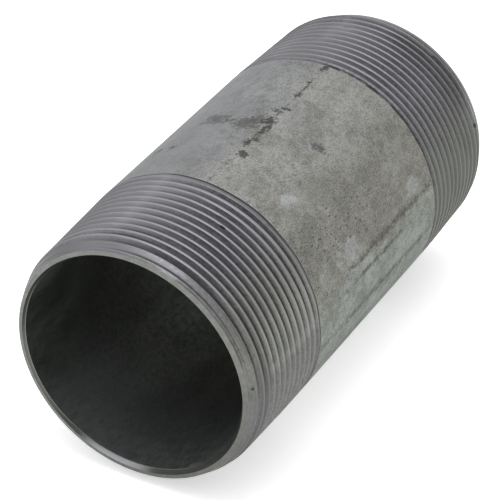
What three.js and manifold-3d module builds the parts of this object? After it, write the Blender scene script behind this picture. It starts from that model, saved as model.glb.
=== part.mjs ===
// A 2 in galvanized steel pipe nipple, 4 1/2 in long, with a taper pipe thread (NPT) cut on each end.
// It is one piece of welded steel pipe. It lies along +Y on the plane z = 0, with its middle over the origin.
import * as THREE from "three";
import { mergeVertices } from "three/addons/utils/BufferGeometryUtils.js";
import Module from "manifold-3d";

const INCH = 25.4;

// Pipe: nominal size 2 in, schedule 40
const LENGTH = 4.5 * INCH;
const OUTER_RADIUS = (2.375 * INCH) / 2;
const WALL = 3.91;
const BORE_RADIUS = OUTER_RADIUS - WALL;

// Taper pipe thread: 11 1/2 per inch, 60 degree flanks, 1 in 16 on the diameter
const PITCH = INCH / 11.5;
const RADIAL_TAPER = 1 / 32;
const FLANK_SLOPE = Math.tan(Math.PI / 6);
const END_PITCH_RADIUS = 57.633 / 2;
const END_ROOT_RADIUS = END_PITCH_RADIUS - PITCH / 4 / FLANK_SLOPE;
const END_CREST_RADIUS = 29.37;
const THREAD_LENGTH = 29.4;
const RUN_OUT_LENGTH = 0.7;

// Where each groove crosses the top of the pipe: its distance from its own end face, less any whole turns
const NEAR_GROOVE_START = 1.14;
const FAR_GROOVE_START = -0.1;

// End face: a flat ring between a long shallow outer chamfer and a reamed bore edge
const FACE_OUTER_RADIUS = 27.95;
const FACE_INNER_RADIUS = 27.1;
const CHAMFER_LENGTH = 3.7;
const REAM_DEPTH = 0.5;

// Facets: flat sides that touch the true circle, so the pipe rests on one and measures its true size across
const SIDES = 32;
const SIDE_ANGLE = (2 * Math.PI) / SIDES;
const FIRST_CORNER = SIDE_ANGLE / 2;
const CORNER_FACTOR = 1 / Math.cos(SIDE_ANGLE / 2);

// Groove cutter: how far it stands out of the pipe, and how many turns it starts before the end face
const CUTTER_MARGIN = 0.2;
const LEAD_IN_TURNS = 2;

const ZINC = { color: 0x8d918e, roughness: 0.55, metalness: 0.75 };

// Radius of the uncut blank at a distance from the end face, chamfer left out
function blankRadius(distance) {
  return Math.min(END_CREST_RADIUS + distance * RADIAL_TAPER, OUTER_RADIUS);
}

// Radius at the bottom of the groove: it follows the taper, then climbs out of the pipe over the run-out
function rootRadius(distance) {
  const tapered = END_ROOT_RADIUS + distance * RADIAL_TAPER;
  const runOut = (distance - THREAD_LENGTH + RUN_OUT_LENGTH) / RUN_OUT_LENGTH;
  const share = THREE.MathUtils.clamp(runOut, 0, 1);
  return THREE.MathUtils.lerp(tapered, OUTER_RADIUS + CUTTER_MARGIN / 2, share);
}

// Outline of one end from the face to the full diameter, as [radius, distance from the face]
function endOutline() {
  const fullSizeAt = (OUTER_RADIUS - END_CREST_RADIUS) / RADIAL_TAPER;
  return [
    [FACE_OUTER_RADIUS, 0],
    [blankRadius(CHAMFER_LENGTH), CHAMFER_LENGTH],
    [OUTER_RADIUS, fullSizeAt],
  ];
}

// The pipe before threading, around the Y axis
function blankGeometry() {
  const half = LENGTH / 2;
  const nearOuter = endOutline().map(([radius, distance]) => [radius, distance - half]);
  const farOuter = endOutline().map(([radius, distance]) => [radius, half - distance]);
  const outline = [
    [FACE_INNER_RADIUS, -half],
    ...nearOuter,
    ...farOuter.reverse(),
    [FACE_INNER_RADIUS, half],
    [BORE_RADIUS, half - REAM_DEPTH],
    [BORE_RADIUS, REAM_DEPTH - half],
    [FACE_INNER_RADIUS, -half],
  ];
  const points = outline.map(([radius, y]) => new THREE.Vector2(radius * CORNER_FACTOR, y));
  return new THREE.LatheGeometry(points, SIDES, FIRST_CORNER);
}

// A straight V bar, one unit high and one unit long per turn, wound into the near end's right-hand groove
function grooveGeometry(grooveStart) {
  const section = new THREE.Shape([
    new THREE.Vector2(0, 0),
    new THREE.Vector2(1, -FLANK_SLOPE),
    new THREE.Vector2(1, FLANK_SLOPE),
  ]);
  const firstDistance = grooveStart - LEAD_IN_TURNS * PITCH;
  const steps = Math.ceil(((THREAD_LENGTH - firstDistance) / PITCH) * SIDES);
  const bar = new THREE.ExtrudeGeometry(section, { depth: steps / SIDES, steps, bevelEnabled: false });
  const position = bar.getAttribute("position");
  for (let i = 0; i < position.count; i++) {
    const angle = FIRST_CORNER + SIDE_ANGLE * Math.round(position.getZ(i) * SIDES);
    const distance = firstDistance + (PITCH * angle) / (2 * Math.PI);
    const root = rootRadius(distance);
    const height = Math.max(blankRadius(distance), root) + CUTTER_MARGIN - root;
    const radius = (root + position.getX(i) * height) * CORNER_FACTOR;
    const y = distance - LENGTH / 2 - position.getY(i) * height;
    position.setXYZ(i, radius * Math.sin(angle), y, radius * Math.cos(angle));
  }
  return bar;
}

const wasm = await Module();
wasm.setup();

function solidFrom(geometry) {
  const bare = geometry.clone();
  bare.deleteAttribute("normal");
  bare.deleteAttribute("uv");
  const merged = mergeVertices(bare);
  const vertProperties = merged.getAttribute("position").array;
  const triVerts = new Uint32Array(merged.index.array);
  return new wasm.Manifold(new wasm.Mesh({ numProp: 3, vertProperties, triVerts }));
}

function geometryFrom(solid) {
  const { vertProperties, triVerts } = solid.getMesh();
  const geometry = new THREE.BufferGeometry();
  geometry.setAttribute("position", new THREE.BufferAttribute(vertProperties, 3));
  geometry.setIndex(new THREE.BufferAttribute(triVerts, 1));
  geometry.computeVertexNormals();
  return geometry;
}

// Half a turn about Z carries a near-end groove to the far end and keeps it right-handed.
function nippleGeometry() {
  const nearGroove = grooveGeometry(NEAR_GROOVE_START);
  const farGroove = grooveGeometry(FAR_GROOVE_START).rotateZ(Math.PI);
  const threaded = solidFrom(blankGeometry()).subtract(solidFrom(nearGroove)).subtract(solidFrom(farGroove));
  return geometryFrom(threaded);
}

const pipe = new THREE.Mesh(nippleGeometry(), new THREE.MeshStandardMaterial(ZINC));
pipe.name = "pipe_nipple";
pipe.position.z = OUTER_RADIUS;

const nipple = new THREE.Group();
nipple.add(pipe);

export default nipple;
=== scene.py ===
import math

import bpy
import numpy as np
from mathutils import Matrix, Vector


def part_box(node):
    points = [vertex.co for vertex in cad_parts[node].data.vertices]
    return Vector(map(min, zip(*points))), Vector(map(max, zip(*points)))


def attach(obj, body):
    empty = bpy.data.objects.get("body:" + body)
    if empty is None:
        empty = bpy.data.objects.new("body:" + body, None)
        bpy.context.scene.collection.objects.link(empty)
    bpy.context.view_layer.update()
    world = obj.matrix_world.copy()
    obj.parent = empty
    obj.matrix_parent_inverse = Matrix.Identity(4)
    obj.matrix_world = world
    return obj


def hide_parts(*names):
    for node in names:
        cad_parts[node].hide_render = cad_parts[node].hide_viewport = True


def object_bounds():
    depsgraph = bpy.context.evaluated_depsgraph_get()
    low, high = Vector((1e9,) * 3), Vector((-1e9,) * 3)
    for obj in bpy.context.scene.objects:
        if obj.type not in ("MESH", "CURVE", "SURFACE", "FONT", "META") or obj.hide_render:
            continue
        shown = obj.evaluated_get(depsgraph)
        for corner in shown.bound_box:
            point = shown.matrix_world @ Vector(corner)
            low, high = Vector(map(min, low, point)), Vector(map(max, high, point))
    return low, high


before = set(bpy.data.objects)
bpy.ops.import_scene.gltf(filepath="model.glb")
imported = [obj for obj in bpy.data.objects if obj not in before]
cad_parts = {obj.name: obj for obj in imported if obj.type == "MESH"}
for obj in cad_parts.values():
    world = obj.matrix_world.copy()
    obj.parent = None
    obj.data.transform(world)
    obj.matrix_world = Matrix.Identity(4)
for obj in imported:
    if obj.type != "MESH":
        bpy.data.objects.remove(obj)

TAU = 2 * math.pi
MM = 0.001
SEED = 4
NODE = "pipe_nipple"

# ------------------------------------------------------------------ sizes, in millimetres

cad_low, cad_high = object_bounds()
node_low, node_high = (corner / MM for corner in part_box(NODE))
RADIUS = (node_high.x - node_low.x) / 2
AXIS_HEIGHT = (node_high.z + node_low.z) / 2
NEAR_FACE, FAR_FACE = node_low.y, node_high.y

WALL = 3.91
BORE_RADIUS = RADIUS - WALL
FACE_OUTER_RADIUS = 27.95
FACE_INNER_RADIUS = 26.97
# The reamer stood askew: its cone is deeper on one side and leaves a burr on the other
REAM_DEPTH, REAM_DEPTH_CHANGE, DEEPEST_REAM = 0.95, 0.5, math.radians(50)
REAM_OFFSET = 0.20
RAGGED_EDGE, RAGGED_EDGE_POWER = 0.22, 4
# It also scraped out more metal along the underside
SCRAPE_DEPTH, SCRAPE_ANGLE, SCRAPE_POWER = 0.42, math.radians(-168), 6
BURR_WIDTH, BURR_WIDTH_CHANGE, WIDEST_BURR = 0.03, 0.16, math.radians(-135)
BURR_LENGTH = 0.06

PITCH = 25.4 / 11.5
TAPER = 1 / 32
FLANK_SLOPE = math.tan(math.pi / 6)
END_PITCH_RADIUS = 57.633 / 2
END_ROOT_RADIUS = END_PITCH_RADIUS - PITCH / 4 / FLANK_SLOPE
END_CREST_RADIUS = 29.37
CHAMFER_LENGTH = 3.7
CHAMFER_SLOPE = (END_CREST_RADIUS + CHAMFER_LENGTH * TAPER - FACE_OUTER_RADIUS) / CHAMFER_LENGTH
THREAD_LENGTH = 29.4
RUN_OUT_LENGTH = 0.7
ROOT_ROUNDING = 0.10
CREST_ROUNDING = 0.06
ZINC_STEP = 0.02
# The first turn is shallow: how much less deep it is at the face, and how far that reaches
LEAD_LIFT = 0.14
LEAD_LENGTH = 3.0
# Where each die stopped, and how much further it ran on one side
NEAR_THREAD_END, NEAR_END_LEAN, NEAR_END_FURTHEST = THREAD_LENGTH + 0.1, 0.45, math.radians(-50)
FAR_THREAD_END, FAR_END_LEAN = THREAD_LENGTH - 0.6, 0.15
RAGGED_END = 0.08
# The narrow ring that the die cut where it stopped
STOP_RING_WIDTH = 0.72
STOP_RING_DEPTH = 0.22
STOP_RING_BOTTOM = 0.12

GROOVE_DEPTH = END_CREST_RADIUS - END_ROOT_RADIUS

# Where each groove crosses the top of the pipe, along the pipe
NEAR_GROOVE = NEAR_FACE + 0.92
FAR_GROOVE = FAR_FACE - 0.05

# Each thread's own axis lies a little off the pipe's axis: to the right, and up
NEAR_OFFSET = (0.42, 0.15)
FAR_OFFSET = (0.25, 0.12)
# Most of that is gone where the thread ends
OFFSET_LOST = 0.6
# The near die also stood askew, so its grooves lean towards the near face on the right
NEAR_ASKEW = 0.4
# How much the crests' height wanders, and how far the barrel is out of round
CREST_WANDER = 0.015
OUT_OF_ROUND = 0.02
# The barrel's edge is this much lower than the barrel, where the zinc was cut through
BARREL_EDGE_DROP = 0.03

# The pipe's weld seam, almost at the top
SEAM_ANGLE = math.radians(4)
SEAM_HALF_WIDTH = 0.22
SEAM_DEPTH = 0.10
SEAM_SHOWN, SEAM_BREAKS = 0.4, 0.8
# Its bead inside the bore, which the reamer has taken off near the ends
BEAD_HEIGHT = 0.35
BEAD_HALF_WIDTH = 1.3
BEAD_FADE, BEAD_START = 6.0, 1.8
UNEVEN_BORE = 0.04

# ------------------------------------------------------------------ mesh grid

COLUMNS = 180
SEAM_COLUMNS = 3
# No even column is kept this close to the seam's columns, in radians
SEAM_CLEARANCE = 0.005
BARREL_ROWS = 56
BORE_ROWS = 44
ROW_GAP = 0.05
# Rows across one pitch from the groove's middle, on a scale that puts the groove's edge at EDGE_ROW
EDGE_ROW = 0.4
GROOVE_ROWS = (-0.47, -0.43, -0.40, -0.365, -0.22, -0.04, 0.04, 0.22, 0.365, 0.40, 0.43, 0.47)
# The least and most that a groove's edge may lie from its middle, as a share of the pitch
NARROWEST_GROOVE, WIDEST_GROOVE = 0.03, 0.45
# How far the barrel's outermost rings lie from its ends
BARREL_MARGINS = (0.06, 0.35)
SHARP_ANGLE = math.radians(50)


def column_angles():
    """Angles round the pipe from the top towards +X, closer together at the seam."""
    even = np.arange(COLUMNS) * TAU / COLUMNS
    steps = np.arange(-SEAM_COLUMNS, SEAM_COLUMNS + 1) * SEAM_HALF_WIDTH / RADIUS
    seam = SEAM_ANGLE + steps
    clear = (even < seam[0] - SEAM_CLEARANCE) | (even > seam[-1] + SEAM_CLEARANCE)
    return np.sort(np.concatenate([even[clear], seam]))


ANGLES = column_angles()


def smooth_min(a, b, size):
    share = np.clip(0.5 + 0.5 * (b - a) / size, 0, 1)
    return b * (1 - share) + a * share - size * share * (1 - share)


def smooth_max(a, b, size):
    return -smooth_min(-a, -b, size)


def wave(angle, y, seed, count=6, along=0.05, most_round=7):
    """A slow random wave over the outside, about -1 to 1, that closes round the pipe."""
    random = np.random.default_rng(seed)
    total = 0
    for _ in range(count):
        round_count = random.integers(1, most_round)
        phase = random.uniform(0, TAU)
        total = total + np.sin(round_count * angle + random.normal(0, along) * TAU * y + phase)
    return total / math.sqrt(count)


def near_thread_end(angle):
    """How far the near thread reaches from its end face: the die ran further on one side."""
    ragged = RAGGED_END * wave(angle, 0, SEED + 20, most_round=30)
    return NEAR_THREAD_END + NEAR_END_LEAN * np.cos(angle - NEAR_END_FURTHEST) + ragged


def far_thread_end(angle):
    ragged = RAGGED_END * wave(angle, 0, SEED + 21, most_round=30)
    return FAR_THREAD_END + FAR_END_LEAN * np.cos(angle) + ragged


NICK_COUNT = 70
NICK_SIZES, NICK_DEPTHS = (0.3, 0.8), (0.06, 0.22)
NICK_STRETCH = 0.7


def make_nicks():
    """Small knocks on the thread crests: angle, place along the pipe, half size and depth."""
    random = np.random.default_rng(SEED)
    angle = random.uniform(0, TAU, NICK_COUNT)
    distance = random.uniform(0.5, THREAD_LENGTH, NICK_COUNT)
    y = np.where(random.random(NICK_COUNT) < 0.5, NEAR_FACE + distance, FAR_FACE - distance)
    size = random.uniform(*NICK_SIZES, NICK_COUNT)
    depth = random.uniform(*NICK_DEPTHS, NICK_COUNT)
    return np.stack([angle, y, size, depth], 1)


# Three knocks that show more than the others, in the same four measures
KNOCKS = [
    (math.radians(-26.5), 29.9, 0.9, 0.40),
    (math.radians(73.5), 53.9, 0.9, 0.45),
    (math.radians(-22.0), -34.6, 0.7, 0.35),
]
NICKS = np.concatenate([make_nicks(), KNOCKS])


def off_axis(angle, y):
    """How far the thread's own axis moves its surface out at this angle."""
    near = NEAR_OFFSET[0] * np.sin(angle) + NEAR_OFFSET[1] * np.cos(angle)
    far = FAR_OFFSET[0] * np.sin(angle) + FAR_OFFSET[1] * np.cos(angle)
    fading = 1 - end_distance(y) / THREAD_LENGTH
    return np.where(y < 0, near, far) * (1 - OFFSET_LOST + OFFSET_LOST * fading)


def end_distance(y):
    return np.where(y < 0, y - NEAR_FACE, FAR_FACE - y)


def crest_radius(angle, y):
    crest = END_CREST_RADIUS + end_distance(y) * TAPER + off_axis(angle, y)
    return np.minimum(crest, RADIUS - ZINC_STEP)


def chamfer_radius(angle, y):
    return FACE_OUTER_RADIUS + end_distance(y) * CHAMFER_SLOPE + off_axis(angle, y)


def root_radius(angle, y):
    tapered = END_ROOT_RADIUS + end_distance(y) * TAPER + off_axis(angle, y)
    share = np.clip((end_distance(y) - THREAD_LENGTH + RUN_OUT_LENGTH) / RUN_OUT_LENGTH, 0, 1)
    lead = LEAD_LIFT * np.clip(1 - end_distance(y) / LEAD_LENGTH, 0, 1)
    return tapered + lead + (RADIUS - tapered) * share


def groove_start(angle, y):
    """Where a groove of the nearer end crosses this angle, less any whole number of pitches."""
    near = NEAR_GROOVE - NEAR_ASKEW * np.sin(angle)
    return np.where(y < 0, near, FAR_GROOVE) + PITCH * angle / TAU


def thread_radius(angle, y):
    """Radius of the threaded outside at an angle and a place along the pipe."""
    across = np.abs((y - groove_start(angle, y) + PITCH / 2) % PITCH - PITCH / 2)
    root = root_radius(angle, y)
    groove = smooth_max(root + across / FLANK_SLOPE, root + ROOT_ROUNDING / 2, ROOT_ROUNDING)
    crest = crest_radius(angle, y) + CREST_WANDER * wave(angle, y, SEED + 1)
    radius = smooth_min(crest, groove, CREST_ROUNDING)
    for nick_angle, nick_y, size, depth in NICKS:
        turn = (angle - nick_angle + math.pi) % TAU - math.pi
        apart = (turn * RADIUS) ** 2 + ((y - nick_y) / NICK_STRETCH) ** 2
        radius = np.minimum(radius, crest - depth * np.exp(-apart / size**2))
    return smooth_min(radius, chamfer_radius(angle, y), CREST_ROUNDING)


def barrel_radius(angle, y):
    """Radius of the plain barrel: not quite round, with the broken line of the weld seam."""
    out_of_round = OUT_OF_ROUND * (wave(angle, y, SEED + 3, most_round=5, along=0.008) - 1)
    across = ((angle - SEAM_ANGLE + math.pi) % TAU - math.pi) * RADIUS
    broken = SEAM_BREAKS * wave(0, y, SEED + 4, count=9, along=0.12)
    broken = np.clip(SEAM_SHOWN + broken, 0, 1)
    seam = SEAM_DEPTH * broken * np.exp(-((across / SEAM_HALF_WIDTH) ** 2))
    return RADIUS + out_of_round - seam


def face_inner_radius(angle):
    """Radius where the near face meets the reamed cone."""
    ragged = RAGGED_EDGE * np.clip(np.cos(angle - DEEPEST_REAM), 0, 1) ** RAGGED_EDGE_POWER
    return FACE_INNER_RADIUS + REAM_OFFSET * np.sin(angle) - ragged


def reamed_edge(angle):
    """Radius of the reamed cone at its inner end, and how deep that end lies."""
    burr = BURR_WIDTH + BURR_WIDTH_CHANGE * np.clip(np.cos(angle - WIDEST_BURR), 0, 1)
    scrape = SCRAPE_DEPTH * np.clip(np.cos(angle - SCRAPE_ANGLE), 0, 1) ** SCRAPE_POWER
    depth = REAM_DEPTH + REAM_DEPTH_CHANGE * np.cos(angle - DEEPEST_REAM) + scrape
    return BORE_RADIUS + burr, depth


def bore_radius(angle, y):
    """Radius of the bore, with the flattened bead of the weld seam."""
    across = ((angle - SEAM_ANGLE + math.pi) % TAU - math.pi) * BORE_RADIUS
    inside = np.clip((end_distance(y) - BEAD_START) / BEAD_FADE, 0, 1)
    bead = BEAD_HEIGHT * np.exp(-((across / BEAD_HALF_WIDTH) ** 4)) * inside
    uneven = UNEVEN_BORE * wave(angle, y, SEED + 5, most_round=5, along=0.01) * inside
    return BORE_RADIUS - bead + uneven


# ------------------------------------------------------------------ the pipe's mesh

ZINC, CUT_STEEL, FACE_STEEL, BORE_STEEL, REAMED_STEEL = range(5)
# The depths given to vertices where the thread runs out, and in the stop ring's groove, which gets
# painted shade
RUN_OUT_DEPTH = 0.35
SHADED_RING_DEPTH = 2.0


class Shell:
    """The closed surface of the pipe, built ring by ring."""

    def __init__(self):
        self.points, self.depths, self.faces, self.slots = [], [], [], []
        self.count = 0

    def add(self, angle, y, radius, depth=0.0):
        """Adds vertices and gives their numbers; depth is 0 on a crest and 1 in a groove, or more in the
        stop ring's groove, which gets painted shade.
        """
        angle, y, radius, depth = np.broadcast_arrays(angle, y, radius, depth)
        place = np.stack([radius * np.sin(angle), y, AXIS_HEIGHT + radius * np.cos(angle)], -1)
        self.points.append(place.reshape(-1, 3))
        self.depths.append(depth.ravel())
        first, self.count = self.count, self.count + angle.size
        return np.arange(first, self.count).reshape(angle.shape)

    def ring(self, y, radius, depth=0.0):
        return self.add(ANGLES, y, radius, depth)

    def face(self, corners, slot):
        self.faces.append([int(c) for c in corners])
        self.slots.append(slot)

    def bridge(self, start, end, slot):
        """The strip of faces between two rings."""
        for a, b, c, d in zip(start, np.roll(start, -1), np.roll(end, -1), end):
            self.face((a, b, c, d), slot)

    def rings(self, first, profile, slot):
        """Rings through a profile of (place along the pipe, radius), joined on to the first ring."""
        for y, radius in profile:
            following = self.ring(y, radius)
            self.bridge(first, following, slot)
            first = following
        return first

    def thread(self, start, end, start_y, end_y, slot):
        """The rows of one thread, which follow its helix, between two rings."""
        rows = len(GROOVE_ROWS)
        first = groove_start(ANGLES, start_y)
        lowest = math.floor((start_y.min() - first.max()) / PITCH) - 1
        highest = math.ceil((end_y.max() - first.min()) / PITCH) + 1
        centre = first[:, None] + PITCH * np.arange(lowest, highest + 1)[None, :]
        around = ANGLES[:, None]
        uncut = np.minimum(crest_radius(around, centre), chamfer_radius(around, centre))
        depth = uncut - root_radius(around, centre)
        edge = np.clip(depth * FLANK_SLOPE / PITCH, NARROWEST_GROOVE, WIDEST_GROOVE)[:, :, None]
        row = np.array(GROOVE_ROWS)[None, None, :]
        inside = row / EDGE_ROW * edge
        outside = np.sign(row) * (edge + (np.abs(row) - EDGE_ROW) / (0.5 - EDGE_ROW) * (0.5 - edge))
        offset = np.where(np.abs(row) <= EDGE_ROW, inside, outside)
        y = (centre[:, :, None] + PITCH * offset).reshape(len(ANGLES), -1)
        angle = np.broadcast_to(ANGLES[:, None], y.shape)
        kept = (y > start_y[:, None] + ROW_GAP) & (y < end_y[:, None] - ROW_GAP)
        number = np.full(y.shape, -1)
        radius = thread_radius(angle[kept], y[kept])
        depth = np.clip((crest_radius(angle[kept], y[kept]) - radius) / GROOVE_DEPTH, 0, 1)
        number[kept] = self.add(angle[kept], y[kept], radius, depth)
        low = kept.argmax(1)
        high = y.shape[1] - 1 - kept[:, ::-1].argmax(1)
        for i in range(len(ANGLES)):
            j = (i + 1) % len(ANGLES)
            shift = rows if j == 0 else 0
            self.weave(number[i], number[j], low[i], high[i], low[j] - shift, high[j] - shift,
                       shift, (start[i], start[j]), (end[i], end[j]), slot)

    def weave(self, left, right, left_low, left_high, right_low, right_high, shift, start, end, slot):
        """Joins one column of thread rows to the next; past the seam the rows are one turn on."""
        low, high = max(left_low, right_low), min(left_high, right_high)
        for row in range(low, high):
            self.face((left[row], right[row + shift], right[row + 1 + shift], left[row + 1]), slot)
        extra_left = [left[r] for r in range(low, left_low - 1, -1)]
        extra_right = [right[r + shift] for r in range(right_low, low + 1)]
        self.face([start[0], start[1], *extra_right, *extra_left], slot)
        extra_right = [right[r + shift] for r in range(high, right_high + 1)]
        extra_left = [left[r] for r in range(left_high, high - 1, -1)]
        self.face([*extra_right, end[1], end[0], *extra_left], slot)


def barrel_profile(near_end, far_end):
    """The barrel's rings: close together at the step down to each thread, and even between."""
    shares = np.linspace(0, 1, BARREL_ROWS + 1)
    for margin in BARREL_MARGINS:
        yield near_end + margin
    for share in shares[1:-1]:
        yield near_end + (far_end - near_end) * share
    for margin in reversed(BARREL_MARGINS):
        yield far_end - margin


def stop_ring(shell, ring, end, inward):
    """The narrow ring groove where the die stopped, from the thread's last ring to the barrel."""
    deepest = end - inward * STOP_RING_BOTTOM
    bottom = np.minimum(thread_radius(ANGLES, deepest), RADIUS - STOP_RING_DEPTH)
    # Its bottom ring is marked for painted shade in the thread's material
    groove = shell.ring(deepest, bottom, SHADED_RING_DEPTH)
    barrel = shell.ring(end, barrel_radius(ANGLES, end) - BARREL_EDGE_DROP)
    if inward > 0:
        shell.bridge(ring, groove, CUT_STEEL)
        shell.bridge(groove, barrel, CUT_STEEL)
        return barrel
    shell.bridge(barrel, groove, CUT_STEEL)
    shell.bridge(groove, ring, CUT_STEEL)
    return barrel


def pipe_mesh():
    shell = Shell()
    near_end, far_end = NEAR_FACE + near_thread_end(ANGLES), FAR_FACE - far_thread_end(ANGLES)
    near_last, far_last = near_end - STOP_RING_WIDTH, far_end + STOP_RING_WIDTH
    full = np.ones_like(ANGLES)

    inner = shell.ring(NEAR_FACE, face_inner_radius(ANGLES))
    rim = FACE_OUTER_RADIUS + off_axis(ANGLES, NEAR_FACE * full)
    outer = shell.rings(inner, [(NEAR_FACE, rim)], FACE_STEEL)
    thread_ring = shell.ring(near_last, thread_radius(ANGLES, near_last), RUN_OUT_DEPTH)
    shell.thread(outer, thread_ring, NEAR_FACE * full, near_last, CUT_STEEL)
    last = stop_ring(shell, thread_ring, near_end, 1)

    profile = [(y, barrel_radius(ANGLES, y)) for y in barrel_profile(near_end, far_end)]
    last = shell.rings(last, profile, ZINC)
    thread_ring = shell.ring(far_last, thread_radius(ANGLES, far_last), RUN_OUT_DEPTH)
    barrel_ring = stop_ring(shell, thread_ring, far_end, -1)
    shell.bridge(last, barrel_ring, ZINC)
    outer = shell.ring(FAR_FACE, FACE_OUTER_RADIUS + off_axis(ANGLES, FAR_FACE * full))
    shell.thread(thread_ring, outer, far_last, FAR_FACE * full, CUT_STEEL)
    last = shell.rings(outer, [(FAR_FACE, FACE_INNER_RADIUS)], FACE_STEEL)

    reamed, depth = reamed_edge(ANGLES)
    last = shell.rings(last, [(FAR_FACE - depth, reamed)], REAMED_STEEL)
    depth = depth + BURR_LENGTH
    last = shell.rings(last, [(FAR_FACE - depth, BORE_RADIUS)], FACE_STEEL)
    for share in np.linspace(0, 1, BORE_ROWS + 1)[1:]:
        y = (FAR_FACE - depth) * (1 - share) + (NEAR_FACE + depth) * share
        last = shell.rings(last, [(y, bore_radius(ANGLES, y))], BORE_STEEL)
    last = shell.rings(last, [(NEAR_FACE + depth - BURR_LENGTH, reamed)], FACE_STEEL)
    shell.bridge(last, inner, REAMED_STEEL)
    return shell


def make_pipe():
    shell = pipe_mesh()
    mesh = bpy.data.meshes.new("threaded_pipe")
    mesh.from_pydata((np.concatenate(shell.points) * MM).tolist(), [], shell.faces)
    mesh.polygons.foreach_set("material_index", shell.slots)
    mesh.polygons.foreach_set("use_smooth", [True] * len(shell.faces))
    mesh.set_sharp_from_angle(angle=SHARP_ANGLE)
    depths = mesh.attributes.new("groove_depth", "FLOAT", "POINT")
    depths.data.foreach_set("value", np.concatenate(shell.depths))
    mesh.validate()
    mesh.update()
    pipe = bpy.data.objects.new("threaded_pipe", mesh)
    bpy.context.scene.collection.objects.link(pipe)
    return pipe


# ------------------------------------------------------------------ materials


class Paint:
    """A material's node tree, with short names for the nodes used here."""

    def __init__(self, name):
        self.material = bpy.data.materials.new(name)
        self.material.use_nodes = True
        self.tree = self.material.node_tree
        self.tree.nodes.clear()
        self.shader = self.node("ShaderNodeBsdfPrincipled")
        output = self.node("ShaderNodeOutputMaterial")
        self.tree.links.new(self.shader.outputs[0], output.inputs[0])
        self.place = self.node("ShaderNodeTexCoord").outputs["Object"]

    def node(self, kind, **settings):
        made = self.tree.nodes.new(kind)
        for name, value in settings.items():
            setattr(made, name, value)
        return made

    def put(self, socket, value):
        if isinstance(value, bpy.types.NodeSocket):
            self.tree.links.new(value, socket)
        else:
            socket.default_value = value

    def stretched(self, scale):
        """The place on the object in millimetres, stretched by a scale along X, Y and Z."""
        mapping = self.node("ShaderNodeMapping")
        self.put(mapping.inputs["Vector"], self.place)
        mapping.inputs["Scale"].default_value = Vector(scale) / MM
        return mapping.outputs[0]

    def noise(self, scale, detail=3.0, roughness=0.55, distortion=0.0):
        made = self.node("ShaderNodeTexNoise")
        self.put(made.inputs["Vector"], self.stretched(scale))
        made.inputs["Scale"].default_value = 1.0
        made.inputs["Detail"].default_value = detail
        made.inputs["Roughness"].default_value = roughness
        made.inputs["Distortion"].default_value = distortion
        return made.outputs[0]

    def cells(self, scale, randomness=1.0):
        made = self.node("ShaderNodeTexVoronoi")
        self.put(made.inputs["Vector"], self.stretched(scale))
        made.inputs["Scale"].default_value = 1.0
        made.inputs["Randomness"].default_value = randomness
        return made.outputs["Distance"]

    def between(self, value, low, high, to_low=0.0, to_high=1.0):
        """A value taken smoothly from one range to another."""
        made = self.node("ShaderNodeMapRange", interpolation_type="SMOOTHSTEP")
        self.put(made.inputs[0], value)
        for socket, number in zip(made.inputs[1:5], (low, high, to_low, to_high)):
            socket.default_value = number
        return made.outputs[0]

    def maths(self, operation, a, b=0.0):
        made = self.node("ShaderNodeMath", operation=operation)
        self.put(made.inputs[0], a)
        self.put(made.inputs[1], b)
        return made.outputs[0]

    def product(self, first, *others):
        """Two or more values multiplied together."""
        for other in others:
            first = self.maths("MULTIPLY", first, other)
        return first

    def blend(self, share, a, b, kind="MIX"):
        made = self.node("ShaderNodeMix", data_type="RGBA", blend_type=kind)
        self.put(made.inputs[0], share)
        for socket, value in ((made.inputs[6], a), (made.inputs[7], b)):
            self.put(socket, (*value, 1.0) if isinstance(value, tuple) else value)
        return made.outputs[2]

    def axes(self):
        """X, Y and Z of the place on the object, in metres."""
        made = self.node("ShaderNodeSeparateXYZ")
        self.put(made.inputs[0], self.place)
        return made.outputs

    def attribute(self, name):
        made = self.node("ShaderNodeAttribute")
        made.attribute_name = name
        return made.outputs["Fac"]

    def vector(self, operation, a, b=None):
        made = self.node("ShaderNodeVectorMath", operation=operation)
        self.put(made.inputs[0], a)
        if b is not None:
            self.put(made.inputs[1], b)
        return made.outputs["Value" if operation == "LENGTH" else "Vector"]

    def outside(self):
        """The place on the outside, unrolled: millimetres round from the top, and along the pipe."""
        x, y, z = self.axes()
        height = self.maths("SUBTRACT", z, AXIS_HEIGHT * MM)
        angle = self.maths("ARCTAN2", x, height)
        made = self.node("ShaderNodeCombineXYZ")
        self.put(made.inputs[0], self.maths("MULTIPLY", angle, RADIUS))
        self.put(made.inputs[1], self.maths("MULTIPLY", y, 1 / MM))
        return angle, made.outputs[0]

    def above(self, angle):
        """1 over most of the pipe, falling to 0 along its underside, where the angle starts again."""
        return self.between(self.maths("ABSOLUTE", angle), 3.1, 2.4)

    def sector(self, angle, middle, none, full):
        """1 close to a middle angle, falling to 0 at a width either side of it, all in degrees."""
        turn = self.maths("COSINE", self.maths("SUBTRACT", angle, math.radians(middle)))
        return self.between(turn, math.cos(math.radians(none)), math.cos(math.radians(full)))

    def mark(self, unrolled, ragged, degrees, along, half_width, half_length, soft=0.5):
        """A ragged oval on the outside, 1 in its middle and 0 outside it."""
        middle = (math.radians(degrees) * RADIUS, along, 0)
        apart = self.vector("SUBTRACT", unrolled, middle)
        apart = self.vector("MULTIPLY", apart, (1 / half_width, 1 / half_length, 0))
        distance = self.maths("ADD", self.vector("LENGTH", apart), ragged)
        return self.between(distance, 1.0 - soft, 1.0 + soft, 1, 0)

    def bump(self, height, distance, strength=1.0, under=None):
        made = self.node("ShaderNodeBump")
        made.inputs["Strength"].default_value = strength
        made.inputs["Distance"].default_value = distance * MM
        self.put(made.inputs["Height"], height)
        if under is not None:
            self.put(made.inputs["Normal"], under)
        return made.outputs[0]

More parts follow.
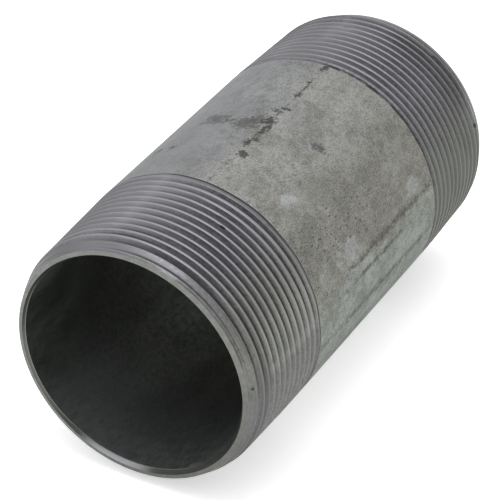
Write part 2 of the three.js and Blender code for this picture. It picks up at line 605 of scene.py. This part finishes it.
    def finish(self, colour, roughness, normal, metallic, edge=1.0):
        self.shader.inputs["Specular Tint"].default_value = (edge, edge, edge, 1)
        self.put(self.shader.inputs["Base Color"], colour)
        self.put(self.shader.inputs["Roughness"], roughness)
        self.put(self.shader.inputs["Normal"], normal)
        self.shader.inputs["Metallic"].default_value = metallic
        return self.material


# Marks on the barrel: degrees round from the top, place along it, half width and half length
SEAM_MARKS = (
    (6.4, -13.9, 1.1, 1.2),
    (3.6, -9.4, 0.75, 1.1),
    (5.4, -7.6, 0.7, 0.9),
    (5.0, -3.0, 0.65, 3.4),
    (3.6, 0.6, 1.2, 1.6),
    (3.0, 5.4, 0.8, 0.8),
    (5.0, 6.9, 1.1, 0.45),
    (4.2, 13.4, 0.7, 0.8),
    (3.2, 19.5, 0.5, 0.7),
    (3.6, 26.8, 0.6, 1.4),
)
# A fine broken line along the whole seam
SEAM_LINE = (math.degrees(SEAM_ANGLE), 3.0, 0.28, 25.0)
SMUDGES = (
    (-19.0, -1.7, 2.7, 2.0),
    (-4.0, -2.6, 3.0, 2.2),
    (-1.0, 0.2, 1.5, 2.0),
    (-36.5, -14.3, 0.9, 1.2),
    (-28.0, -14.3, 0.8, 0.7),
)
# One small bluish stain right of the seam
STAIN = (27.5, 0.9, 1.5, 1.2)
# Where dark pits have gathered
PIT_CLUSTER = (55.0, -14.0, 5.5, 13.0)
# The patches, and the streaks with the painted shade, also end with how plainly they show
PALE_PATCHES = (
    (33.8, -19.0, 1.3, 2.4, 0.95),
    (69.0, -11.6, 2.9, 4.4, 0.46),
    (69.5, 19.7, 2.2, 2.2, 0.48),
    (70.0, -22.0, 3.4, 2.8, 0.22),
    (22.0, 17.0, 2.6, 3.8, 0.2),
    (-13.0, 19.0, 5.0, 9.0, 0.35),
    (11.0, 4.0, 3.0, 6.0, 0.28),
)
STREAKS_AND_LOW_SHADE = (
    (75.5, 6.0, 0.75, 20.0, 1.0),
    (82.5, -4.0, 0.5, 14.0, 0.9),
    (97.3, 2.0, 0.8, 30.0, 0.8),
    # The last one is painted shade along the lower right side, not a streak
    (112.5, -5.0, 2.2, 16.0, 0.42),
)

# The zinc's colours round the pipe: left of the seam, right of it, further round, and lowest
BLUISH = (0.272, 0.279, 0.286)
OLIVE = (0.312, 0.310, 0.294)
BROWN = (0.203, 0.200, 0.164)
GREENISH = (0.251, 0.279, 0.252)
# The colours of its marks
PALE = (0.385, 0.405, 0.405)
SMUDGED = (0.10, 0.10, 0.096)
STAINED = (0.085, 0.088, 0.098)
# Also the tone of the painted shade low on the right
STREAK_AND_SHADE_DARK = (0.09, 0.09, 0.075)
SEAM_DARK = (0.05, 0.05, 0.045)
PITTED = (0.055, 0.055, 0.048)
SPECKED = (0.07, 0.07, 0.062)


class BarrelPaint(Paint):
    """The galvanized barrel: smooth and bluish left of the seam, mottled olive right of it."""

    def __init__(self):
        super().__init__("galvanized_zinc")
        self.angle, self.unrolled = self.outside()
        self.not_under = self.above(self.angle)
        self.patches = self.noise((0.07, 0.05, 0.07), detail=4)
        self.broad = self.noise((0.16, 0.11, 0.16), detail=3)
        self.mottle = self.noise((0.6, 0.45, 0.6), detail=5, roughness=0.7)
        self.grain = self.noise((3.0, 2.4, 3.0), detail=3, roughness=0.7)
        self.ragged = self.between(self.noise((1.3, 1.0, 1.3), detail=4), 0.25, 0.75, -0.8, 0.8)
        self.softly = self.between(self.noise((0.5, 0.4, 0.5), detail=4), 0.25, 0.75, -0.7, 0.7)
        self.around = self.maths("ADD", self.angle, self.between(self.patches, 0.2, 0.8, -0.2, 0.2))
        self.rough = self.rough_parts()

    def rough_parts(self):
        """How rough the zinc is: 1 right of the seam, less on the back and least on the left."""
        right = self.product(self.between(self.around, -0.4, 0.1), self.not_under)
        back = self.between(self.sector(self.angle, -145, 85, 60), 0, 1, 0, 0.7)
        return self.maths("MAXIMUM", self.between(right, 0, 1, 0.38, 1.0), back)

    def clean(self):
        """The zinc's colour before its mottling and marks."""
        colour = self.blend(self.between(self.around, -0.15, 0.12), BLUISH, OLIVE)
        colour = self.blend(self.between(self.around, 0.30, 1.15, 0, 0.8), colour, BROWN)
        uneven = self.maths("ADD", self.angle, self.between(self.broad, 0.35, 0.65, -0.05, 0.05))
        colour = self.blend(self.between(uneven, 1.28, 1.42), colour, GREENISH)
        return self.blend(self.not_under, BLUISH, colour)

    def mottled(self, colour):
        """Darker and paler tones: a noise, where each starts and is strongest, how strong, its tone."""
        tones = (
            (self.broad, 0.56, 0.36, 0.45, (0.14, 0.14, 0.128)),
            (self.broad, 0.50, 0.68, 0.45, (0.34, 0.345, 0.34)),
            (self.mottle, 0.54, 0.30, 0.38, (0.12, 0.12, 0.11)),
            (self.mottle, 0.52, 0.74, 0.35, (0.36, 0.365, 0.355)),
            (self.grain, 0.52, 0.30, 0.75, (0.085, 0.085, 0.078)),
            (self.grain, 0.50, 0.72, 0.55, (0.42, 0.425, 0.41)),
        )
        for noise, start, strongest, strength, tone in tones:
            share = self.product(self.between(noise, start, strongest, 0, strength), self.rough)
            colour = self.blend(share, colour, tone)
        return colour

    def marked(self, colour):
        """Pale patches, dark smudges, the stain, the streaks and a band of painted shade low on the
        right.
        """
        for *place, strength in PALE_PATCHES:
            share = self.mark(self.unrolled, self.softly, *place, 0.45)
            grainy = self.between(self.grain, 0.35, 0.55, 0.6 * strength, strength)
            colour = self.blend(self.product(share, grainy), colour, PALE)
        for place in SMUDGES:
            share = self.mark(self.unrolled, self.ragged, *place, 0.7)
            colour = self.blend(self.product(share, 0.75), colour, SMUDGED)
        share = self.mark(self.unrolled, self.ragged, *STAIN)
        colour = self.blend(self.product(share, 0.8), colour, STAINED)
        for *place, strength in STREAKS_AND_LOW_SHADE:
            share = self.mark(self.unrolled, self.ragged, *place, 0.7)
            broken = self.between(self.mottle, 0.66, 0.42, 0.40 * strength, 0.95 * strength)
            colour = self.blend(self.product(share, broken), colour, STREAK_AND_SHADE_DARK)
        return colour

    def seam(self):
        """How dark the weld seam's line and the marks along it are."""
        seam = self.mark(self.unrolled, self.ragged, *SEAM_LINE, 0.6)
        seam = self.product(seam, self.between(self.mottle, 0.52, 0.40, 0.05, 0.9))
        for place in SEAM_MARKS:
            seam = self.maths("MAXIMUM", seam, self.mark(self.unrolled, self.ragged, *place))
        return seam

    def pits(self):
        """Small pits, most of them in one cluster."""
        gathered = self.mark(self.unrolled, self.ragged, *PIT_CLUSTER, 0.6)
        gathered = self.maths("MAXIMUM", gathered, self.between(self.patches, 0.5, 0.7, 0, 0.7))
        dashes = self.cells((1.0, 0.6, 1.0))
        return self.product(self.between(dashes, 0.14, 0.30, 0.85, 0), gathered, self.rough)

    def specks(self):
        specks = self.between(self.cells((1.7, 1.3, 1.7)), 0.12, 0.27, 0.8, 0)
        return self.product(specks, self.between(self.mottle, 0.58, 0.44), self.rough)

    def make(self):
        seam, pits = self.seam(), self.pits()
        colour = self.marked(self.mottled(self.clean()))
        colour = self.blend(self.product(seam, 0.85), colour, SEAM_DARK)
        colour = self.blend(pits, colour, PITTED)
        colour = self.blend(self.specks(), colour, SPECKED)
        roughness = self.between(self.mottle, 0.3, 0.7, 0.60, 0.46)
        normal = self.bump(self.mottle, 0.18, 0.5)
        normal = self.bump(self.grain, 0.08, 0.8, normal)
        normal = self.bump(self.maths("MAXIMUM", pits, seam), -0.15, 0.8, normal)
        return self.finish(colour, roughness, normal, 0.8, edge=0.5)


# Small dark nicks on the threads, in the same measures as the marks on the barrel
DARK_NICKS = (
    (-26.5, 29.9, 0.6, 0.35),
    (73.5, 53.9, 0.6, 0.4),
    (-22.0, -34.6, 0.3, 0.3),
    (23.0, -37.8, 0.7, 0.16),
    (82.7, -55.7, 0.35, 0.3),
)

# The threads' colours: two of cut steel, a paler one for painted light on the left, and the worn crests
STEEL, PLAIN_STEEL = (0.222, 0.216, 0.238), (0.206, 0.202, 0.213)
LEFT_LIT_STEEL = (0.246, 0.240, 0.260)
WORN = (0.30, 0.295, 0.315)
CHATTERED = (0.13, 0.13, 0.135)
HATCH_DARK, HATCH_PALE = (0.11, 0.11, 0.115), (0.36, 0.355, 0.37)
TURNED = (0.10, 0.10, 0.105)
SHADED, DEEP_SHADED = (0.10, 0.10, 0.10), (0.05, 0.05, 0.05)
# Painted shade for the right side, darker and greener
RIGHT_SHADE_TONE = (0.085, 0.094, 0.074)
WARMTH = (1.0, 1.01, 0.93)
# Painted shade at the groove bottoms
GROOVE_SHADE = (0.05, 0.048, 0.045)
SOILED = (0.06, 0.06, 0.062)
NICK_DARK = (0.02, 0.02, 0.02)
# Painted shade in the stop ring's groove
STOP_RING_SHADE = (0.085, 0.085, 0.08)


class ThreadPaint(Paint):
    """The cut threads, with painted light and shade that make parts paler, darker or flatter."""

    def __init__(self):
        super().__init__("cut_thread_steel")
        self.depth = self.attribute("groove_depth")
        self.angle, self.unrolled = self.outside()
        self.not_under = self.above(self.angle)
        along = self.axes()[1]
        self.far = self.between(along, -0.02, 0.02)
        self.near = self.between(self.far, 1, 0)
        # From here on, distances are in millimetres
        from_middle = self.maths("MULTIPLY", self.maths("ABSOLUTE", along), 1 / MM)
        self.from_end = self.maths("SUBTRACT", FAR_FACE, from_middle)
        self.on_chamfer = self.between(self.from_end, 4.15, 2.95)
        self.first_turns = self.between(self.from_end, 8.65, 7.15)
        self.first_grooves = self.maths("SUBTRACT", self.first_turns, self.on_chamfer)
        self.chatter = self.noise((1.2, 0.5, 1.2), detail=3)
        self.stains = self.noise((0.10, 0.16, 0.10), detail=4)
        self.ridged = self.ridged_parts()

    def by_end(self, near, far):
        """A number that differs between the near thread and the far one."""
        return self.between(self.far, 0, 1, near, far)

    def ridged_parts(self):
        """1 where the thread lines stand out, 0 where they fade into flat, rougher steel that gets
        painted light.
        """
        near = self.product(self.between(self.angle, -0.38, -0.10), self.between(self.angle, 1.55, 1.30))
        near = self.maths("MAXIMUM", near, self.first_turns)
        far = self.between(self.angle, -0.35, 0.0)
        far = self.maths("MAXIMUM", far, self.between(self.from_end, 14.65, 16.65))
        far = self.maths("MAXIMUM", far, self.between(self.not_under, 1, 0))
        return self.maths("ADD", self.product(self.far, far), self.product(self.near, near))

    def flanks(self):
        """Cut steel with tool chatter and fine hatching, and painted light that makes it paler on the
        left.
        """
        colour = self.blend(self.between(self.stains, 0.35, 0.7), STEEL, PLAIN_STEEL)
        colour = self.blend(self.between(self.chatter, 0.3, 0.6, 0.4, 0), colour, CHATTERED)
        hatch = self.noise((1.3, 3.6, 1.3), detail=3, roughness=0.7)
        colour = self.blend(self.between(hatch, 0.54, 0.34, 0, 0.45), colour, HATCH_DARK)
        colour = self.blend(self.between(hatch, 0.50, 0.68, 0, 0.35), colour, HATCH_PALE)
        # Painted light: paler steel towards the left, less on the far thread and in the first grooves
        left = self.maths("SUBTRACT", self.angle, self.product(self.far, 0.18))
        left = self.product(self.between(left, 0.30, -0.15), self.by_end(1, 0.75), self.not_under)
        left = self.product(left, self.between(self.first_grooves, 0, 1, 1, 0.2))
        return self.blend(left, colour, LEFT_LIT_STEEL)

    def worn(self):
        """How worn and pale the crests are."""
        uneven = self.maths("ADD", self.depth, self.between(self.chatter, 0.3, 0.7, 0, 0.05))
        worn = self.product(self.between(uneven, 0.16, 0.05), self.by_end(1.0, 0.6))
        return self.product(worn, self.between(self.ridged, 0, 1, 0.15, 1.0))

    def chamfered(self, colour):
        """Turning marks on the chamfers, and painted shade that makes them darker everywhere but low on
        the right.
        """
        turned = self.noise((0.04, 1.5, 0.04), detail=3, roughness=0.7)
        turned = self.product(self.between(turned, 0.52, 0.36, 0, 0.4), self.on_chamfer)
        colour = self.blend(turned, colour, TURNED)
        # Painted shade on the chamfers, except low on the right
        dim = self.between(self.between(self.angle, 1.15, 0.85), 0, 1, 0, 0.27)
        return self.blend(self.product(dim, self.on_chamfer, self.not_under), colour, SHADED)

    def shaded_right(self, colour, worn):
        """Painted shade on the right, darker and greener steel, with a warmer band on the near thread.
        """
        right = self.maths("SUBTRACT", self.angle, self.product(self.on_chamfer, 0.2))
        # Painted shade: darker, greener steel on the right
        right_shade = self.product(self.between(right, 0.6, 1.35), self.by_end(0.52, 0.80))
        right_shade = self.product(right_shade, self.between(worn, 0, 1, 1.0, 0.8), self.not_under)
        colour = self.blend(right_shade, colour, RIGHT_SHADE_TONE)
        warm = self.product(self.between(self.angle, 0.5, 1.0), self.between(self.angle, 1.6, 1.25))
        return self.blend(self.product(warm, self.near), colour, WARMTH, "MULTIPLY")

    def shaded(self, colour):
        """Darker parts: the left, the first grooves, and the far thread's outermost turns."""
        left = self.product(self.between(self.angle, -0.25, -0.72), 0.5)
        far_left = self.product(self.far, self.between(self.angle, 0, -0.35, 0, 0.24))
        left = self.product(self.maths("MAXIMUM", left, far_left), self.not_under)
        grooves = self.product(self.between(self.depth, 0.15, 0.6), self.between(self.angle, 0.2, -0.1))
        grooves = self.product(grooves, self.first_grooves, self.not_under)
        left = self.maths("MAXIMUM", left, self.product(grooves, 0.6))
        colour = self.blend(left, colour, SHADED)
        right = self.product(self.between(self.angle, 0.7, 1.5), self.near)
        right = self.product(right, self.first_grooves, self.not_under)
        outermost = self.between(self.from_end, 14.15, 7.15)
        outermost = self.product(self.sector(self.angle, 38, 28, 8), outermost, self.far, 0.8)
        right = self.maths("ADD", right, outermost)
        return self.blend(self.product(right, 0.42), colour, DEEP_SHADED)

    def flattened(self, colour):
        """Painted shade at the bottom of the grooves, and painted light that brightens the steel where
        the thread lines fade.
        """
        # Painted shade, darkest at the groove bottoms and where the thread lines stand out
        groove_shade = self.maths("ADD", self.depth, self.between(self.stains, 0.3, 0.7, -0.1, 0.1))
        groove_shade = self.product(self.between(groove_shade, 0.8, 1.05), self.between(self.ridged, 0, 1, 0.05, 0.7))
        colour = self.blend(groove_shade, colour, GROOVE_SHADE)
        # Painted light where the thread lines fade
        lift = self.product(self.between(self.angle, 0, 1), self.not_under)
        lift = self.between(lift, 0, 1, 1.27, 1.46)
        return self.blend(self.between(self.ridged, 1, 0), colour, lift, "MULTIPLY")

    def soiled(self, colour):
        """Soil beside the barrel, and the dark nicks."""
        uneven = self.maths("ADD", self.from_end, self.between(self.chatter, 0.3, 0.7, 0.3, -0.3))
        soil = self.product(self.between(uneven, 27.25, 28.55), self.by_end(0.5, 0.7))
        most = self.product(self.between(self.angle, -0.5, 0.3), self.not_under)
        most = self.product(most, self.maths("MAXIMUM", self.far, self.between(self.angle, 1.0, 0.5)))
        soil = self.product(soil, self.between(most, 0, 1, 0.2, 1))
        colour = self.blend(soil, colour, SOILED)
        for place in DARK_NICKS:
            share = self.mark(self.unrolled, 0.0, *place, 0.4)
            colour = self.blend(self.product(share, 0.8), colour, NICK_DARK)
        return colour

    def make(self):
        worn = self.worn()
        colour = self.blend(worn, self.flanks(), WORN)
        colour = self.shaded_right(self.chamfered(colour), worn)
        colour = self.soiled(self.flattened(self.shaded(colour)))
        # Painted shade in the stop ring's groove, which also makes it rougher
        stop_ring_shade = self.between(self.depth, 1.1, 1.6)
        colour = self.blend(stop_ring_shade, colour, STOP_RING_SHADE)
        roughness = self.between(self.stains, 0.3, 0.7, 0.29, 0.39)
        roughness = self.maths("MAXIMUM", roughness, self.product(stop_ring_shade, 0.7))
        roughness = self.maths("MAXIMUM", roughness, self.between(self.ridged, 0, 1, 0.62, 0))
        normal = self.bump(self.noise((0.02, 9.0, 0.02), detail=2), 0.02, 0.5)
        normal = self.bump(self.chatter, 0.03, 0.4, normal)
        return self.finish(colour, roughness, normal, 1.0, edge=0.7)


# The end rings: two greys, and the shade on the lower right
FACE_GREYS = (0.155, 0.16, 0.147), (0.205, 0.21, 0.193)
FACE_SHADE = (0.05, 0.05, 0.046)


def face_paint():
    paint = Paint("cut_face_steel")
    marks = paint.noise((0.9, 0.9, 0.9), detail=5)
    colour = paint.blend(paint.between(marks, 0.35, 0.7), *FACE_GREYS)
    angle, _ = paint.outside()
    lower = paint.sector(angle, 140, 75, 35)
    colour = paint.blend(paint.product(lower, 0.28), colour, FACE_SHADE)
    roughness = paint.between(marks, 0.3, 0.7, 0.34, 0.45)
    return paint.finish(colour, roughness, paint.bump(marks, 0.04, 0.5), 1.0)


# The reamed edge: two dark greys, painted shade in two parts, painted light on a paler part, and the
# bright scrape, which is bare steel with a painted highlight
REAMED_GREYS = (0.062, 0.066, 0.058), (0.086, 0.09, 0.082)
REAMED_SHADE, SHADE_MIDDLES = (0.02, 0.022, 0.02), (132, -52)
REAMED_LIT, LIT_MIDDLE = (0.125, 0.13, 0.12), -112
SCRAPE_AND_HIGHLIGHT, SCRAPE_HIGHLIGHT_MIDDLE = (0.335, 0.34, 0.355), -170


def reamed_paint():
    paint = Paint("reamed_edge_steel")
    angle, _ = paint.outside()
    marks = paint.noise((0.8, 3.0, 0.8), detail=4)
    colour = paint.blend(paint.between(marks, 0.35, 0.7), *REAMED_GREYS)
    for middle in SHADE_MIDDLES:
        shaded = paint.product(paint.sector(angle, middle, 42, 20), 0.45)
        colour = paint.blend(shaded, colour, REAMED_SHADE)
    # Painted light on a paler part, then the scrape: bare steel with a painted highlight
    colour = paint.blend(paint.sector(angle, LIT_MIDDLE, 28, 10), colour, REAMED_LIT)
    colour = paint.blend(paint.sector(angle, SCRAPE_HIGHLIGHT_MIDDLE, 22, 5), colour, SCRAPE_AND_HIGHLIGHT)
    roughness = paint.between(marks, 0.3, 0.7, 0.42, 0.55)
    return paint.finish(colour, roughness, paint.bump(marks, 0.05, 0.5), 0.8)


# The bore: two dark zinc tones, its specks, and its lighter lower side
BORE_TONES = (0.058, 0.064, 0.055), (0.105, 0.113, 0.100)
BORE_SPECKS = (0.02, 0.021, 0.018)
BORE_LIT = (0.175, 0.184, 0.19)


def bore_paint():
    paint = Paint("bore_zinc")
    blotches = paint.noise((0.12, 0.05, 0.12), detail=5)
    grain = paint.noise((0.9, 0.5, 0.9), detail=4)
    colour = paint.blend(paint.between(blotches, 0.35, 0.7), *BORE_TONES)
    angle, _ = paint.outside()
    specks = paint.between(paint.cells((0.9, 0.45, 0.9)), 0.15, 0.42, 0.55, 0.05)
    specks = paint.product(specks, paint.between(grain, 0.42, 0.58), paint.sector(angle, -141, 22, 6))
    colour = paint.blend(specks, colour, BORE_SPECKS)
    from_middle = paint.maths("ABSOLUTE", paint.axes()[1])
    lit = paint.product(paint.sector(angle, 168, 88, 35), paint.between(from_middle, 0.016, 0.056))
    colour = paint.blend(paint.product(lit, 0.72), colour, BORE_LIT)
    roughness = paint.between(grain, 0.3, 0.7, 0.45, 0.62)
    return paint.finish(colour, roughness, paint.bump(grain, 0.2, 0.6), 0.8)


FLOOR_GLOW = 0.5
FLOOR_TONES = (0.88, 0.88, 0.88), (0.90, 0.90, 0.90)


def floor_paint():
    paint = Paint("pale_floor")
    cloud = paint.noise((0.004, 0.004, 0.004), detail=2)
    colour = paint.blend(cloud, *FLOOR_TONES)
    paint.put(paint.shader.inputs["Emission Color"], colour)
    paint.shader.inputs["Emission Strength"].default_value = FLOOR_GLOW
    return paint.finish(colour, 0.9, paint.bump(cloud, 0.01, 0.1), 0.0)


# ------------------------------------------------------------------ studio

FLOOR_SIZE = 6.0


def make_floor():
    bpy.ops.mesh.primitive_plane_add(size=FLOOR_SIZE, location=(0, 0, cad_low.z))
    floor = bpy.context.object
    floor.name = "floor"
    floor.data.materials.append(floor_paint())


def direction(azimuth, elevation):
    """A unit vector towards an azimuth, counted from -Y towards +X, and an elevation, in degrees."""
    a, e = math.radians(azimuth), math.radians(elevation)
    return Vector((math.sin(a) * math.cos(e), -math.cos(a) * math.cos(e), math.sin(e)))


DOME_BRIGHTNESS = 1.38
# Parts of the room that are darker than the white tent: azimuth, elevation, half width and
# how wide the soft edge reaches, all in degrees, and the brightness left there
DARK_PARTS = (
    (10, 8, 8, 50, 0.62),
    (-3, 19, 6, 23, 0.05),
    (125, 5, 20, 55, 0.75),
)


def light_world():
    """An even white tent that is darker where the camera, its stand and the room show through."""
    world = bpy.data.worlds.new("studio")
    bpy.context.scene.world = world
    world.use_nodes = True
    tree = world.node_tree
    tree.nodes.clear()
    place = tree.nodes.new("ShaderNodeTexCoord")
    light = tree.nodes.new("ShaderNodeBackground")
    strength = None
    for azimuth, elevation, half_width, reach, left in DARK_PARTS:
        towards = tree.nodes.new("ShaderNodeVectorMath")
        towards.operation = "DOT_PRODUCT"
        towards.inputs[1].default_value = direction(azimuth, elevation)
        tree.links.new(place.outputs["Generated"], towards.inputs[0])
        share = tree.nodes.new("ShaderNodeMapRange")
        share.interpolation_type = "SMOOTHSTEP"
        edges = (math.cos(math.radians(reach)), math.cos(math.radians(half_width)), 1.0, left)
        for socket, number in zip(share.inputs[1:5], edges):
            socket.default_value = number
        tree.links.new(towards.outputs["Value"], share.inputs[0])
        product = tree.nodes.new("ShaderNodeMath")
        product.operation = "MULTIPLY"
        tree.links.new(share.outputs[0], product.inputs[0])
        if strength is None:
            product.inputs[1].default_value = DOME_BRIGHTNESS
        else:
            tree.links.new(strength, product.inputs[1])
        strength = product.outputs[0]
    tree.links.new(strength, light.inputs["Strength"])
    output = tree.nodes.new("ShaderNodeOutputWorld")
    tree.links.new(light.outputs[0], output.inputs[0])


def add_softbox(name, azimuth, elevation, distance, size, watts):
    data = bpy.data.lights.new(name, "AREA")
    data.shape = "DISK"
    data.size = size
    data.energy = watts
    lamp = bpy.data.objects.new(name, data)
    bpy.context.scene.collection.objects.link(lamp)
    back = direction(azimuth, elevation)
    lamp.location = Vector((0, 0, AXIS_HEIGHT * MM)) + back * distance
    lamp.rotation_euler = (-back).to_track_quat("-Z", "Y").to_euler()


CAMERA_AZIMUTH, CAMERA_ELEVATION = 28.8, 34.0
CAMERA_DEPTH = 574.0
CAMERA_LENS, SENSOR_WIDTH = 183.0, 36
# How far the middle of the pipe lies right of and above the middle of the frame
CENTRE_RIGHT, CENTRE_UP = 2.29, 3.52


def add_camera():
    data = bpy.data.cameras.new("camera")
    data.lens = CAMERA_LENS
    data.sensor_width = SENSOR_WIDTH
    data.clip_start, data.clip_end = 0.01, 20
    camera = bpy.data.objects.new("camera", data)
    bpy.context.scene.collection.objects.link(camera)
    back = direction(CAMERA_AZIMUTH, CAMERA_ELEVATION)
    turn = (-back).to_track_quat("-Z", "Y")
    right, up = turn @ Vector((1, 0, 0)), turn @ Vector((0, 1, 0))
    centre = Vector((0, 0, AXIS_HEIGHT))
    camera.location = (centre + back * CAMERA_DEPTH - right * CENTRE_RIGHT - up * CENTRE_UP) * MM
    camera.rotation_mode = "QUATERNION"
    camera.rotation_quaternion = turn
    bpy.context.scene.camera = camera


# ------------------------------------------------------------------ the scene

add_camera()
pipe = make_pipe()
materials = (BarrelPaint().make(), ThreadPaint().make(), face_paint(), bore_paint(), reamed_paint())
for material in materials:
    pipe.data.materials.append(material)
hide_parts(NODE)
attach(pipe, "root")

make_floor()
light_world()
add_softbox("overhead_softbox", azimuth=0, elevation=88, distance=1.2, size=0.9, watts=3.4)
bpy.context.scene.view_settings.view_transform = "Standard"
